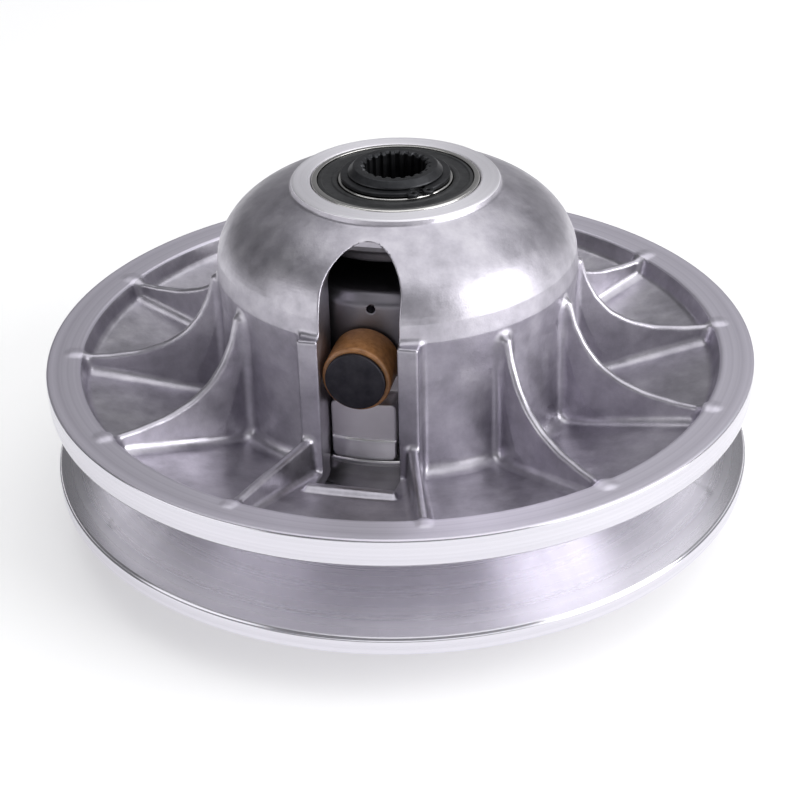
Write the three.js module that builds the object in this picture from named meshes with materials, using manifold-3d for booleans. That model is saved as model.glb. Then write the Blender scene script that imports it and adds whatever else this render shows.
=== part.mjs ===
// Driven clutch of a stepless belt drive, in millimetres, +Z up along the shaft.
// A domed sheave turns on a splined post. The sheave below it slides down the post as the belt
// is pulled in, guided by rollers in the dome's slots and in a helical cam fixed to the post.
// The origin is on the axis, at the bottom of the lower sheave's rim.

import * as THREE from 'three';
import { mergeVertices } from 'three/addons/utils/BufferGeometryUtils.js';
import Module from 'manifold-3d';

const wasm = await Module();
wasm.setup();

// ---- driving dimensions ----------------------------------------------------------------------

// belt groove
const RIM_RADIUS = 135;
const FACE_INNER_RADIUS = 72.5;
const FACE_SLOPE = 0.2376;
const GROOVE_HALF_WIDTH = 15.03;
const GROOVE_MID_Z = 21.47;
const FACE_GAP = 0.35;
const LOWER_BAND = 6.45;
const UPPER_BAND = 10.1;
const UPPER_RIM_Z = 46.6;

// ribs, the same count above and below
const RIB_COUNT = 12;
const RIB_THICKNESS = 4.4;
const FIRST_RIB_ANGLE = 15;

// dome and its roller slots
const SLOT_COUNT = 2;
const SLOT_FACING = -90;
const SLOT_WIDTH = 28;
const SLOT_TOP_Z = 108;
const SLOT_THROUGH_Z = 20;
const SLOT_INNER_RADIUS = 42;
const SLOT_SILL_RADIUS = 79.5;
const JAMB_WIDTH = 42;
const JAMB_FACE_RADIUS = 70;
const JAMB_TOP_Z = 81;
const DOME_BORE = 61;

// splined post
const POST_RADIUS = 17.5;
const POST_TOP_Z = 118.1;
const SPLINE_TEETH = 22;
const SPLINE_MINOR = 11.2;
const SPLINE_MAJOR = 12.3;
const POST_FLANGE_RADIUS = 30;
const POST_FLANGE_Z = 18;
const POST_FLANGE_TOP_Z = 24;

// ball bearing between dome and post
const BEARING_BOTTOM_Z = 99.4;
const BEARING_TOP_Z = 113.4;
const INNER_RACE = [17.8, 21];
const OUTER_RACE = [28.9, 31];
const BALL_COUNT = 11;
const BALL_RADIUS = 3.6;
const BALL_CIRCLE_RADIUS = 24.95;

// rollers and their pins: the axis of each pin crosses the shaft's axis
const PIN_Z = 65.2;
const PIN_LEAN = -1.2;
const SLOT_ROLLER = [10.3, 12.3];
const SLOT_ROLLER_SPAN = [51, 66.8];
const CAM_ROLLER = [4.8, 8];
const CAM_ROLLER_SPAN = [31.8, 39.6];

// helical cam
const CAM_RADII = [31, 40.8];
const CAM_BOTTOM_Z = 24.3;
const CAM_TOP_Z = 63.4;
const CAM_WEB = 6;
const CAM_SLOT_RADIUS = 8.4;
const TRAVEL = 20;
const TWIST = -25;
const CAM_STEPS = 9;

// carrier that holds the pins and is bolted to the lower sheave
const CARRIER_RADII = [41.3, 50];
const CARRIER_BOTTOM_Z = 28;
const CARRIER_TOP_Z = 89.5;
const CARRIER_FLANGE = 5.5;
const LEG_RADIUS = 60;
const LEG_HALF_WIDTH = 12;
const LEG_TOP_Z = 51;
const HUB_TOP_Z = 27.7;
const HUB_BOTTOM_Z = 4;
const CARRIER_SCREW_RADIUS = 54;
const CARRIER_SCREW_OFFSET = 6.5;

// spring
const SPRING_RADIUS = 24.8;
const SPRING_WIRE = 2.9;
const SPRING_TURNS = 4.5;
const SPRING_BOTTOM_Z = 32.1;
const SPRING_TOP_Z = 81.9;

// facets round a full turn
const SHEAVE_FACETS = 48;
const RING_FACETS = 32;
const SMALL_FACETS = 20;
const SCREW_FACETS = 10;

// ---- helpers ---------------------------------------------------------------------------------

const rad = THREE.MathUtils.degToRad;

// A closed triangle mesh as a solid, with its faces turned outwards.
function solid(geometry) {
  const bare = geometry.index ? geometry.toNonIndexed() : geometry.clone();
  bare.deleteAttribute('normal');
  bare.deleteAttribute('uv');
  const merged = mergeVertices(bare, 1e-4);
  const points = Float32Array.from(merged.attributes.position.array);
  const index = merged.index.array;
  const triangles = [];
  let volume = 0;
  const corner = [new THREE.Vector3(), new THREE.Vector3(), new THREE.Vector3()];
  for (let i = 0; i < index.length; i += 3) {
    const [a, b, c] = [index[i], index[i + 1], index[i + 2]];
    if (a === b || b === c || c === a) continue;
    corner.forEach((v, k) => v.fromArray(points, 3 * index[i + k]));
    volume += corner[0].dot(corner[1].clone().cross(corner[2]));
    triangles.push(a, b, c);
  }
  if (volume < 0) {
    for (let i = 0; i < triangles.length; i += 3) {
      [triangles[i], triangles[i + 1]] = [triangles[i + 1], triangles[i]];
    }
  }
  const triVerts = Uint32Array.from(triangles);
  return new wasm.Manifold(new wasm.Mesh({ numProp: 3, vertProperties: points, triVerts }));
}

// The solid back as a three.js geometry.
function geometryOf(manifold) {
  const mesh = manifold.getMesh();
  const geometry = new THREE.BufferGeometry();
  geometry.setAttribute('position', new THREE.BufferAttribute(mesh.vertProperties, 3));
  geometry.setIndex(new THREE.BufferAttribute(mesh.triVerts, 1));
  return geometry;
}

// A body of revolution about Z from [radius, height] points, closed on itself.
function turned(profile, facets) {
  const points = [...profile, profile[0]].map(([r, z]) => new THREE.Vector2(r, z));
  return solid(new THREE.LatheGeometry(points, facets).rotateX(Math.PI / 2));
}

// The same, laid along +X, for the pieces on a radial axis.
function turnedRadial(profile, facets) {
  const points = [...profile, profile[0]].map(([r, z]) => new THREE.Vector2(r, z));
  return solid(new THREE.LatheGeometry(points, facets).rotateZ(-Math.PI / 2));
}

function ring(inner, outer, bottom, top, facets) {
  return turned([[inner, bottom], [outer, bottom], [outer, top], [inner, top]], facets);
}

// A cylinder along Z at a given radius and angle.
function drill(radius, bottom, top, distance, angle, facets = SCREW_FACETS) {
  const geometry = new THREE.CylinderGeometry(radius, radius, top - bottom, facets);
  geometry.rotateX(Math.PI / 2);
  geometry.translate(distance, 0, (bottom + top) / 2);
  return solid(geometry.rotateZ(rad(angle)));
}

// A cylinder along a radial line at a given height and angle.
function radialDrill(radius, from, to, z, angle, facets) {
  const geometry = new THREE.CylinderGeometry(radius, radius, to - from, facets);
  geometry.rotateZ(Math.PI / 2);
  geometry.translate((from + to) / 2, 0, z);
  return solid(geometry.rotateZ(rad(angle)));
}

// An outline of [radius, height] points made into an upright radial plate.
function radialPlate(outline, thickness, angle) {
  const shape = new THREE.Shape(outline.map(([r, z]) => new THREE.Vector2(r, z)));
  const geometry = new THREE.ExtrudeGeometry(shape, { depth: thickness, bevelEnabled: false });
  geometry.translate(0, 0, -thickness / 2);
  return solid(geometry.rotateX(Math.PI / 2).rotateZ(rad(angle)));
}

function block(size, centre, angle) {
  const geometry = new THREE.BoxGeometry(...size).translate(...centre);
  return solid(geometry.rotateZ(rad(angle)));
}

const group = new THREE.Group();

function addNode(name, body, look, parent = group) {
  const mesh = new THREE.Mesh(geometryOf(body), new THREE.MeshStandardMaterial(look));
  mesh.name = name;
  parent.add(mesh);
}

const CAST = { color: 0xa9abb2, roughness: 0.38, metalness: 1 };
const TURNED = { color: 0xc9cacd, roughness: 0.25, metalness: 1 };
const STEEL = { color: 0x8c8d90, roughness: 0.3, metalness: 1 };
const BLACK_STEEL = { color: 0x16171a, roughness: 0.4, metalness: 0.8 };
const BEARING_STEEL = { color: 0xb4b6ba, roughness: 0.18, metalness: 1 };
const RUBBER = { color: 0x141416, roughness: 0.6, metalness: 0 };
const ROLLER = { color: 0x8a5630, roughness: 0.45, metalness: 0 };
const DARK_STEEL = { color: 0x47484e, roughness: 0.45, metalness: 0.9 };
const BRONZE = { color: 0x9b7b45, roughness: 0.35, metalness: 1 };

const slotAngles = Array.from({ length: SLOT_COUNT }, (_, i) => SLOT_FACING + (i * 360) / SLOT_COUNT);
const ribAngles = Array.from(
  { length: RIB_COUNT },
  (_, i) => SLOT_FACING + FIRST_RIB_ANGLE + (i * 360) / RIB_COUNT,
);

// Height of a belt face at a radius, measured from the middle of the groove.
const faceRise = (r) => FACE_GAP / 2 + (r - FACE_INNER_RADIUS) * FACE_SLOPE;

// ---- stationary sheave: belt face, ribbed back, dome -----------------------------------------

const upperFace = (r) => GROOVE_MID_Z + faceRise(r);
const BEARING_SEAT_Z = BEARING_BOTTOM_Z - 0.3;

let stationary = turned([
  [FACE_INNER_RADIUS, upperFace(FACE_INNER_RADIUS)],
  [RIM_RADIUS, UPPER_RIM_Z - UPPER_BAND],
  [RIM_RADIUS, UPPER_RIM_Z],
  [124, 45],
  [121, 38.9],
  [75, 28.2],
  [67.6, 31.5],
  [66.4, 36],
  [66.4, 75.6],
  [67.6, 77.6],
  [67.6, 85],
  [65, 93.2],
  [59.5, 100],
  [51, 106.4],
  [41, 111.2],
  [38.3, 113.2],
  [31.3, 113.2],
  [31.3, BEARING_SEAT_Z],
  [26, BEARING_SEAT_Z],
  [26, 96.6],
  [38, 96.6],
  [39.5, 103.2],
  [49, 100.2],
  [57, 93.5],
  [DOME_BORE, 84],
  [DOME_BORE, upperFace(FACE_INNER_RADIUS)],
], SHEAVE_FACETS);

// Free ribs sweep up to the dome; the pair beside each slot run level into its jambs.
const FREE_RIB = [
  [62, 34], [74, 27.2], [122.5, 38], [123.4, 44], [112, 44.5], [100, 45.6], [90, 48.6],
  [82, 53.5], [77, 59], [73.5, 65.5], [70.5, 72], [67, 78], [62, 78],
];
const JAMB_RIB = [[62, 34], [74, 27.2], [122.5, 38], [123.4, 44], [80, 43.4], [70, 44.5], [62, 44.5]];
ribAngles.forEach((angle, i) => {
  const besideSlot = i % 6 === 0 || i % 6 === 5;
  stationary = stationary.add(radialPlate(besideSlot ? JAMB_RIB : FREE_RIB, RIB_THICKNESS, angle));
});

const slotOutline = new THREE.Shape();
slotOutline.moveTo(-SLOT_WIDTH / 2, SLOT_THROUGH_Z);
slotOutline.lineTo(SLOT_WIDTH / 2, SLOT_THROUGH_Z);
slotOutline.lineTo(SLOT_WIDTH / 2, SLOT_TOP_Z - SLOT_WIDTH / 2);
slotOutline.absarc(0, SLOT_TOP_Z - SLOT_WIDTH / 2, SLOT_WIDTH / 2, 0, Math.PI, false);
slotOutline.closePath();

function slotCutter(angle) {
  const length = JAMB_FACE_RADIUS + 1 - SLOT_INNER_RADIUS;
  const settings = { depth: length, bevelEnabled: false, curveSegments: 10 };
  const geometry = new THREE.ExtrudeGeometry(slotOutline, settings);
  geometry.rotateX(Math.PI / 2).rotateZ(Math.PI / 2);
  geometry.translate(SLOT_INNER_RADIUS, 0, 0);
  return solid(geometry.rotateZ(rad(angle)));
}

// Inside the dome, walls carry the slot's sides in as far as the rollers reach.
const INNER_WALL = [[50, 29], [62.5, 29], [62.5, 86], [57.5, 95], [51, 98.8], [50, 98.8]];
const SILL = [[69, SLOT_THROUGH_Z], [70, 22.6], [SLOT_SILL_RADIUS, 27.6], [SLOT_SILL_RADIUS, 60], [69, 60]];
slotAngles.forEach((angle) => {
  const jamb = JAMB_FACE_RADIUS - DOME_BORE - 1;
  const height = JAMB_TOP_Z - 24;
  const middle = [DOME_BORE + 1 + jamb / 2, 0, 24 + height / 2];
  stationary = stationary.add(block([jamb, JAMB_WIDTH, height], middle, angle));
  stationary = stationary.add(radialPlate(INNER_WALL, JAMB_WIDTH - 1, angle));
  stationary = stationary.subtract(slotCutter(angle));
  stationary = stationary.subtract(radialPlate(SILL, SLOT_WIDTH - 0.2, angle));
});
addNode('stationary_sheave', stationary, CAST);

// ---- movable sheave --------------------------------------------------------------------------

const lowerFace = (r) => GROOVE_MID_Z - faceRise(r);
let movable = turned([
  [RIM_RADIUS, 0],
  [RIM_RADIUS, LOWER_BAND],
  [FACE_INNER_RADIUS, lowerFace(FACE_INNER_RADIUS)],
  [71, 20.4],
  [70.4, 14.6],
  [LEG_RADIUS, 14.6],
  [LEG_RADIUS, HUB_TOP_Z - 2],
  [LEG_RADIUS - 2, HUB_TOP_Z],
  [44, HUB_TOP_Z],
  [44, HUB_BOTTOM_Z],
  [LEG_RADIUS, HUB_BOTTOM_Z],
  [LEG_RADIUS, 8.8],
  [70, 8.8],
  [77, 14.2],
  [123.5, 2.8],
  [125, 0],
], SHEAVE_FACETS);
ribAngles.filter((angle, i) => i % 2 === 0).forEach((angle) => {
  const outline = [[58, 5], [124.3, 1.2], [124.3, 4.2], [77, 16], [70, 11], [58, 11]];
  movable = movable.add(radialPlate(outline, RIB_THICKNESS, angle));
});

const screwPlaces = slotAngles.flatMap((angle) => [-1, 1].map((side) => ({
  distance: Math.hypot(CARRIER_SCREW_RADIUS, CARRIER_SCREW_OFFSET),
  angle: angle + PIN_LEAN
    + side * THREE.MathUtils.radToDeg(Math.atan2(CARRIER_SCREW_OFFSET, CARRIER_SCREW_RADIUS)),
})));
screwPlaces.forEach(({ distance, angle }) => {
  movable = movable.subtract(drill(2.9, HUB_BOTTOM_Z - 1, HUB_TOP_Z + 1, distance, angle));
});
addNode('movable_sheave', movable, TURNED);

// ---- roller carrier --------------------------------------------------------------------------

const flangeBottom = CARRIER_TOP_Z - CARRIER_FLANGE;
let carrier = turned([
  [CARRIER_RADII[0], CARRIER_BOTTOM_Z],
  [CARRIER_RADII[1], CARRIER_BOTTOM_Z],
  [CARRIER_RADII[1], CARRIER_TOP_Z - 3.5],
  [CARRIER_RADII[1] - 3.5, CARRIER_TOP_Z],
  [20.6, CARRIER_TOP_Z],
  [20.6, flangeBottom],
  [CARRIER_RADII[0], flangeBottom],
], RING_FACETS);
const legRing = turned([
  [46, CARRIER_BOTTOM_Z], [LEG_RADIUS - 0.8, CARRIER_BOTTOM_Z], [LEG_RADIUS, CARRIER_BOTTOM_Z + 0.8],
  [LEG_RADIUS, 36], [LEG_RADIUS - 0.5, 36.5], [LEG_RADIUS - 0.5, LEG_TOP_Z], [46, LEG_TOP_Z],
], SHEAVE_FACETS);
slotAngles.forEach((angle) => {
  const pinAngle = angle + PIN_LEAN;
  const gate = block([24, 2 * LEG_HALF_WIDTH, 60], [54, 0, 40], pinAngle);
  carrier = carrier.add(legRing.intersect(gate));
  carrier = carrier.subtract(radialDrill(7.3, 36, 56, PIN_Z, pinAngle, SMALL_FACETS));
  carrier = carrier.subtract(radialDrill(1.4, 36, 56, 80.5, pinAngle + 2, SCREW_FACETS));
});
screwPlaces.forEach(({ distance, angle }) => {
  carrier = carrier.subtract(drill(2.8, CARRIER_BOTTOM_Z - 1, 43.5, distance, angle));
});
addNode('roller_carrier', carrier, STEEL);
addNode('carrier_bushing', ring(17.8, 20.3, flangeBottom, CARRIER_TOP_Z, RING_FACETS), BRONZE);

screwPlaces.forEach(({ distance, angle }, i) => {
  const holder = new THREE.Group();
  holder.rotation.z = rad(angle);
  const screw = turned([
    [1.9, 0.5], [4.2, 0.5], [4.4, 1], [4.4, 3.7], [2.5, 3.7], [2.5, 43], [0, 43], [0, 2.6], [1.9, 2.6],
  ], SCREW_FACETS);
  const mesh = new THREE.Mesh(geometryOf(screw), new THREE.MeshStandardMaterial(BLACK_STEEL));
  mesh.name = `carrier_screw_${i + 1}`;
  mesh.position.x = distance;
  holder.add(mesh);
  group.add(holder);
});

// ---- pins and rollers ------------------------------------------------------------------------

const PIN_STEPS = { innerEnd: 31.2, collar: 41, head: 50.7, outerEnd: 66.4 };
slotAngles.forEach((angle, i) => {
  const holder = new THREE.Group();
  holder.rotation.z = rad(angle + PIN_LEAN);
  holder.position.z = PIN_Z;
  const { innerEnd, collar, head, outerEnd } = PIN_STEPS;
  const pin = turnedRadial([
    [0, innerEnd], [4.5, innerEnd], [4.5, collar], [7, collar], [7, head],
    [10, head], [10, outerEnd - 0.5], [9.5, outerEnd], [0, outerEnd],
  ], SMALL_FACETS);
  addNode(`roller_pin_${i + 1}`, pin, DARK_STEEL, holder);
  const [bore, outer] = SLOT_ROLLER;
  const [from, to] = SLOT_ROLLER_SPAN;
  const slotRoller = turnedRadial([
    [bore, from], [outer - 0.8, from], [outer, from + 0.8],
    [outer, to - 1.2], [outer - 1.2, to], [bore, to],
  ], SMALL_FACETS);
  addNode(`slot_roller_${i + 1}`, slotRoller, ROLLER, holder);
  const camRoller = turnedRadial([
    [CAM_ROLLER[0], CAM_ROLLER_SPAN[0]], [CAM_ROLLER[1], CAM_ROLLER_SPAN[0]],
    [CAM_ROLLER[1], CAM_ROLLER_SPAN[1]], [CAM_ROLLER[0], CAM_ROLLER_SPAN[1]],
  ], SMALL_FACETS);
  addNode(`cam_roller_${i + 1}`, camRoller, ROLLER, holder);
  group.add(holder);
});

// ---- splined post ----------------------------------------------------------------------------

let post = turned([
  [0, 0], [16.5, 0], [POST_RADIUS, 1],
  [POST_RADIUS, POST_FLANGE_Z], [POST_FLANGE_RADIUS, POST_FLANGE_Z],
  [POST_FLANGE_RADIUS, POST_FLANGE_TOP_Z], [POST_RADIUS, POST_FLANGE_TOP_Z],
  [POST_RADIUS, 93], [19.3, 93], [19.3, BEARING_SEAT_Z], [POST_RADIUS, BEARING_SEAT_Z],
  [POST_RADIUS, 113.6], [16.4, 113.6], [16.4, 115.4], [POST_RADIUS, 115.4],
  [POST_RADIUS, POST_TOP_Z - 1.4], [16.2, POST_TOP_Z], [0, POST_TOP_Z],
], RING_FACETS);
const splineOutline = new THREE.Shape();
for (let tooth = 0; tooth < SPLINE_TEETH; tooth += 1) {
  [[0, SPLINE_MINOR], [0.42, SPLINE_MINOR], [0.55, SPLINE_MAJOR], [0.87, SPLINE_MAJOR]].forEach(
    ([share, radius], corner) => {
      const turn = ((tooth + share) / SPLINE_TEETH) * 2 * Math.PI;
      const point = [radius * Math.cos(turn), radius * Math.sin(turn)];
      if (tooth === 0 && corner === 0) splineOutline.moveTo(...point);
      else splineOutline.lineTo(...point);
    },
  );
}
const bore = new THREE.ExtrudeGeometry(splineOutline, { depth: POST_TOP_Z + 4, bevelEnabled: false });
post = post.subtract(solid(bore.translate(0, 0, -2)));

const CAM_SCREW_RADIUS = 24.5;
const camScrewAngles = slotAngles.flatMap((angle) => [angle + 60, angle + 120]);
camScrewAngles.forEach((angle) => {
  post = post.subtract(drill(2.9, POST_FLANGE_Z - 1, POST_FLANGE_TOP_Z + 1, CAM_SCREW_RADIUS, angle));
});
addNode('post', post, BLACK_STEEL);

// ---- helical cam -----------------------------------------------------------------------------

let cam = turned([
  [17.8, CAM_BOTTOM_Z], [CAM_RADII[1], CAM_BOTTOM_Z], [CAM_RADII[1], CAM_TOP_Z],
  [CAM_RADII[0], CAM_TOP_Z], [CAM_RADII[0], CAM_BOTTOM_Z + CAM_WEB], [17.8, CAM_BOTTOM_Z + CAM_WEB],
], RING_FACETS);
slotAngles.forEach((angle) => {
  for (let step = -2; step <= CAM_STEPS; step += 1) {
    const share = step / CAM_STEPS;
    const turn = angle + PIN_LEAN + share * TWIST;
    const z = PIN_Z - share * TRAVEL;
    cam = cam.subtract(radialDrill(CAM_SLOT_RADIUS, 27, 46, z, turn, SMALL_FACETS));
  }
});
camScrewAngles.forEach((angle) => {
  cam = cam.subtract(drill(2.8, CAM_BOTTOM_Z - 1, 29, CAM_SCREW_RADIUS, angle));
});
addNode('cam', cam, STEEL);

camScrewAngles.forEach((angle, i) => {
  const holder = new THREE.Group();
  holder.rotation.z = rad(angle);
  const screw = turned([
    [1.9, 14], [4.2, 14], [4.4, 14.5], [4.4, 17.7], [2.5, 17.7], [2.5, 28.6], [0, 28.6], [0, 16.4], [1.9, 16.4],
  ], SCREW_FACETS);
  const mesh = new THREE.Mesh(geometryOf(screw), new THREE.MeshStandardMaterial(BLACK_STEEL));
  mesh.name = `cam_screw_${i + 1}`;
  mesh.position.x = CAM_SCREW_RADIUS;
  holder.add(mesh);
  group.add(holder);
});

// ---- spring and its seats --------------------------------------------------------------------

class Helix extends THREE.Curve {
  getPoint(t) {
    const turn = t * SPRING_TURNS * 2 * Math.PI;
    const low = SPRING_BOTTOM_Z + SPRING_WIRE;
    const high = SPRING_TOP_Z - SPRING_WIRE;
    const z = low + (high - low) * t;
    return new THREE.Vector3(SPRING_RADIUS * Math.cos(turn), SPRING_RADIUS * Math.sin(turn), z);
  }
}
const wire = new THREE.Shape();
wire.absarc(0, 0, SPRING_WIRE, 0, 2 * Math.PI, false);
const coil = new THREE.ExtrudeGeometry(wire, {
  steps: 60, curveSegments: 4, bevelEnabled: false, extrudePath: new Helix(),
});
addNode('compression_spring', solid(coil), DARK_STEEL);
addNode('spring_seat', ring(18.2, 30, 30.6, 31.8, RING_FACETS), STEEL);
addNode('thrust_washer', ring(20.9, 30.5, 82.2, 83.7, RING_FACETS), STEEL);

// ---- ball bearing ----------------------------------------------------------------------------

const [innerBore, innerOuter] = INNER_RACE;
const [outerBore, outerOuter] = OUTER_RACE;
addNode('bearing_inner_race',
  ring(innerBore, innerOuter, BEARING_BOTTOM_Z, BEARING_TOP_Z, RING_FACETS), BEARING_STEEL);
addNode('bearing_outer_race',
  ring(outerBore, outerOuter, BEARING_BOTTOM_Z, BEARING_TOP_Z, RING_FACETS), BEARING_STEEL);
addNode('bearing_seal_top', ring(21.35, 28.6, 112.1, 113.2, RING_FACETS), RUBBER);
addNode('bearing_seal_bottom', ring(21.35, 28.6, 99.7, 100.8, RING_FACETS), RUBBER);

const ballZ = (BEARING_BOTTOM_Z + BEARING_TOP_Z) / 2;
let cage = ring(22.3, 27.6, 101.2, 102.5, RING_FACETS);
for (let i = 0; i < BALL_COUNT; i += 1) {
  const angle = (i * 360) / BALL_COUNT;
  const finger = block([2.8, 4.6, 7.4], [BALL_CIRCLE_RADIUS, 0, 105.6], angle + 180 / BALL_COUNT);
  cage = cage.add(finger);
  const ball = new THREE.SphereGeometry(BALL_RADIUS, 8, 6);
  ball.rotateX(Math.PI / 2).translate(BALL_CIRCLE_RADIUS, 0, ballZ);
  addNode(`bearing_ball_${i + 1}`, solid(ball.rotateZ(rad(angle))), BEARING_STEEL);
}
addNode('bearing_cage', cage, DARK_STEEL);

// ---- circlip on the post ---------------------------------------------------------------------

const CLIP_GAP = 16;
const CLIP_FACING = -52;
const clip = new THREE.Shape();
clip.absarc(0, 0, 19.5, rad(CLIP_GAP), rad(360 - CLIP_GAP), false);
clip.absarc(20.2, -3.1, 2.1, rad(200), rad(340), false);
clip.lineTo(16.9, -2.2);
clip.absarc(0, 0, 16.8, rad(-7), rad(-353), true);
clip.lineTo(22.1, 3.2);
clip.absarc(20.2, 3.1, 2.1, rad(20), rad(160), false);
clip.closePath();
const clipSettings = { depth: 1.4, bevelEnabled: false, curveSegments: 12 };
const clipBody = new THREE.ExtrudeGeometry(clip, clipSettings).translate(0, 0, 113.8);
addNode('post_circlip', solid(clipBody.rotateZ(rad(CLIP_FACING))), BLACK_STEEL);

export default group;
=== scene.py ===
# The looks of the driven clutch: cast and turned sheaves, bearing, post, rollers, studio.
# Shapes are worked out in millimetres in the CAD's own frame and turned into metres at the end.

import math

import bpy
import numpy as np
from mathutils import Matrix, Vector


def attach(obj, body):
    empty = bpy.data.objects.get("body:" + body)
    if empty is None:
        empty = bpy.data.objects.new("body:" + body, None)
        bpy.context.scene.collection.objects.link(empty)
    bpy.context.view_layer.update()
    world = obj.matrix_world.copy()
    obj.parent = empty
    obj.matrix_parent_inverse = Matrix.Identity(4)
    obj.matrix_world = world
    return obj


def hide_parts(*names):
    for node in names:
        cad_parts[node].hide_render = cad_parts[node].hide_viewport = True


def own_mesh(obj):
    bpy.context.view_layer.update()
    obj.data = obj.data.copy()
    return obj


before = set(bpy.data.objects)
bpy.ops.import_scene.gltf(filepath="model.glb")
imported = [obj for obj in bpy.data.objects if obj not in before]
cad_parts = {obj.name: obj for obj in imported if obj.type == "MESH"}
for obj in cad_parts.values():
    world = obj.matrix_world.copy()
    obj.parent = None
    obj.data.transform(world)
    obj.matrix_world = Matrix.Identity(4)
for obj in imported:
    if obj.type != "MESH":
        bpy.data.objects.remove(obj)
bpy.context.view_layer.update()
MM = 0.001

# ---- driving dimensions, in millimetres, as in the CAD ------------------------------------------

RIM_RADIUS = 135.0
FACE_INNER_RADIUS = 72.5
FACE_SLOPE = 0.2376
GROOVE_MID_Z = 21.47
FACE_GAP = 0.35
LOWER_BAND = 6.45
UPPER_BAND = 10.1
UPPER_RIM_Z = 46.6
SLOT_HALF_WIDTH = 14.0
SLOT_TOP_CENTRE_Z = 94.0
JAMB_HALF_WIDTH = 21.4
JAMB_FACE = 70.0
JAMB_TOP_Z = 80.6
POST_RADIUS = 17.5
BORE_RADIUS = 17.8
POST_TOP_Z = 118.1
PIN_Z = 65.2
PIN_LEAN = math.radians(-1.2)
SLOT_FACING = math.radians(-90)
SLOT_COUNT = 2
TURN = 2 * math.pi


def face_rise(r):
    """How far a belt face stands from the middle of the groove."""
    return FACE_GAP / 2 + (r - FACE_INNER_RADIUS) * FACE_SLOPE


# ---- distance fields ----------------------------------------------------------------------------

def rounded(corners):
    """An outline through (x, y, fillet radius) corners, as an array of points."""
    points = []
    count = len(corners)
    for i, (x, y, radius) in enumerate(corners):
        here = np.array([x, y], float)
        if radius <= 0:
            points.append(here)
            continue
        before = np.array(corners[i - 1][:2], float) - here
        after = np.array(corners[(i + 1) % count][:2], float) - here
        length_before, length_after = np.linalg.norm(before), np.linalg.norm(after)
        before, after = before / length_before, after / length_after
        half = math.acos(max(-1.0, min(1.0, float(before @ after)))) / 2
        if half > math.radians(89):
            points.append(here)
            continue
        reach = min(radius / math.tan(half), 0.49 * length_before, 0.49 * length_after)
        radius = reach * math.tan(half)
        middle = before + after
        centre = here + middle / np.linalg.norm(middle) * (radius / math.sin(half))
        start, end = here + before * reach - centre, here + after * reach - centre
        sweep = math.atan2(start[0] * end[1] - start[1] * end[0], float(start @ end))
        steps = max(2, int(abs(sweep) * max(radius, 1.0) / 0.35) + 1)
        for k in range(steps + 1):
            a = sweep * k / steps
            c, s = math.cos(a), math.sin(a)
            points.append(centre + np.array([c * start[0] - s * start[1], s * start[0] + c * start[1]]))
    return np.array(points)


def outline_distance(outline, x, y):
    """Distance from points to a closed outline, negative inside."""
    nearest = np.full(x.shape, np.inf)
    inside = np.zeros(x.shape, bool)
    for (x0, y0), (x1, y1) in zip(outline, np.roll(outline, -1, axis=0)):
        ex, ey = x1 - x0, y1 - y0
        length = ex * ex + ey * ey
        if length < 1e-12:
            continue
        along = np.clip(((x - x0) * ex + (y - y0) * ey) / length, 0, 1)
        nearest = np.minimum(nearest, (x - x0 - ex * along) ** 2 + (y - y0 - ey * along) ** 2)
        if ey:
            inside ^= ((y0 > y) != (y1 > y)) & (x < ex * (y - y0) / ey + x0)
    return np.where(inside, -np.sqrt(nearest), np.sqrt(nearest))


class Section:
    """Distance to an outline, kept on a fine grid so that it can be looked up quickly."""

    def __init__(self, corners, margin=6.0, step=0.25):
        outline = rounded(corners)
        self.low = outline.min(axis=0) - margin
        size = outline.max(axis=0) + margin - self.low
        self.step = step
        self.count = np.ceil(size / step).astype(int) + 1
        xs = self.low[0] + np.arange(self.count[0]) * step
        ys = self.low[1] + np.arange(self.count[1]) * step
        grid_x, grid_y = np.meshgrid(xs, ys, indexing="ij")
        self.values = outline_distance(outline, grid_x, grid_y).astype(np.float32)

    def __call__(self, x, y):
        fx = np.clip((x - self.low[0]) / self.step, 0, self.count[0] - 1.001)
        fy = np.clip((y - self.low[1]) / self.step, 0, self.count[1] - 1.001)
        ix, iy = fx.astype(np.int32), fy.astype(np.int32)
        tx, ty = fx - ix, fy - iy
        v = self.values
        low = v[ix, iy] * (1 - tx) + v[ix + 1, iy] * tx
        high = v[ix, iy + 1] * (1 - tx) + v[ix + 1, iy + 1] * tx
        return low * (1 - ty) + high * ty


def join(a, b, fillet):
    """Union with a round fillet in the corner."""
    u, v = np.maximum(fillet - a, 0), np.maximum(fillet - b, 0)
    return np.maximum(fillet, np.minimum(a, b)) - np.sqrt(u * u + v * v)


def common(a, b, radius):
    """Intersection with a rounded edge."""
    u, v = np.maximum(radius + a, 0), np.maximum(radius + b, 0)
    return np.minimum(-radius, np.maximum(a, b)) + np.sqrt(u * u + v * v)


def cut(a, b, radius):
    """a without b, with a rounded edge."""
    return common(a, -b, radius)


def box2(x, y, half_x, half_y, radius):
    """Distance to a rectangle with rounded corners."""
    qx, qy = np.abs(x) - half_x + radius, np.abs(y) - half_y + radius
    outside = np.sqrt(np.maximum(qx, 0) ** 2 + np.maximum(qy, 0) ** 2)
    return outside + np.minimum(np.maximum(qx, qy), 0) - radius


# ---- meshes from distance fields ----------------------------------------------------------------

CORNERS = [(0, 0, 0), (1, 0, 0), (0, 1, 0), (1, 1, 0), (0, 0, 1), (1, 0, 1), (0, 1, 1), (1, 1, 1)]
CELL_EDGES = [(0, 1), (2, 3), (4, 5), (6, 7), (0, 2), (1, 3), (4, 6), (5, 7),
              (0, 4), (1, 5), (2, 6), (3, 7)]


def at_points(distance, points):
    """The distance field, which takes radius, angle and height, at x, y, z points."""
    x, y, z = points.T
    return distance(np.hypot(x, y), np.arctan2(y, x), z)


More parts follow.
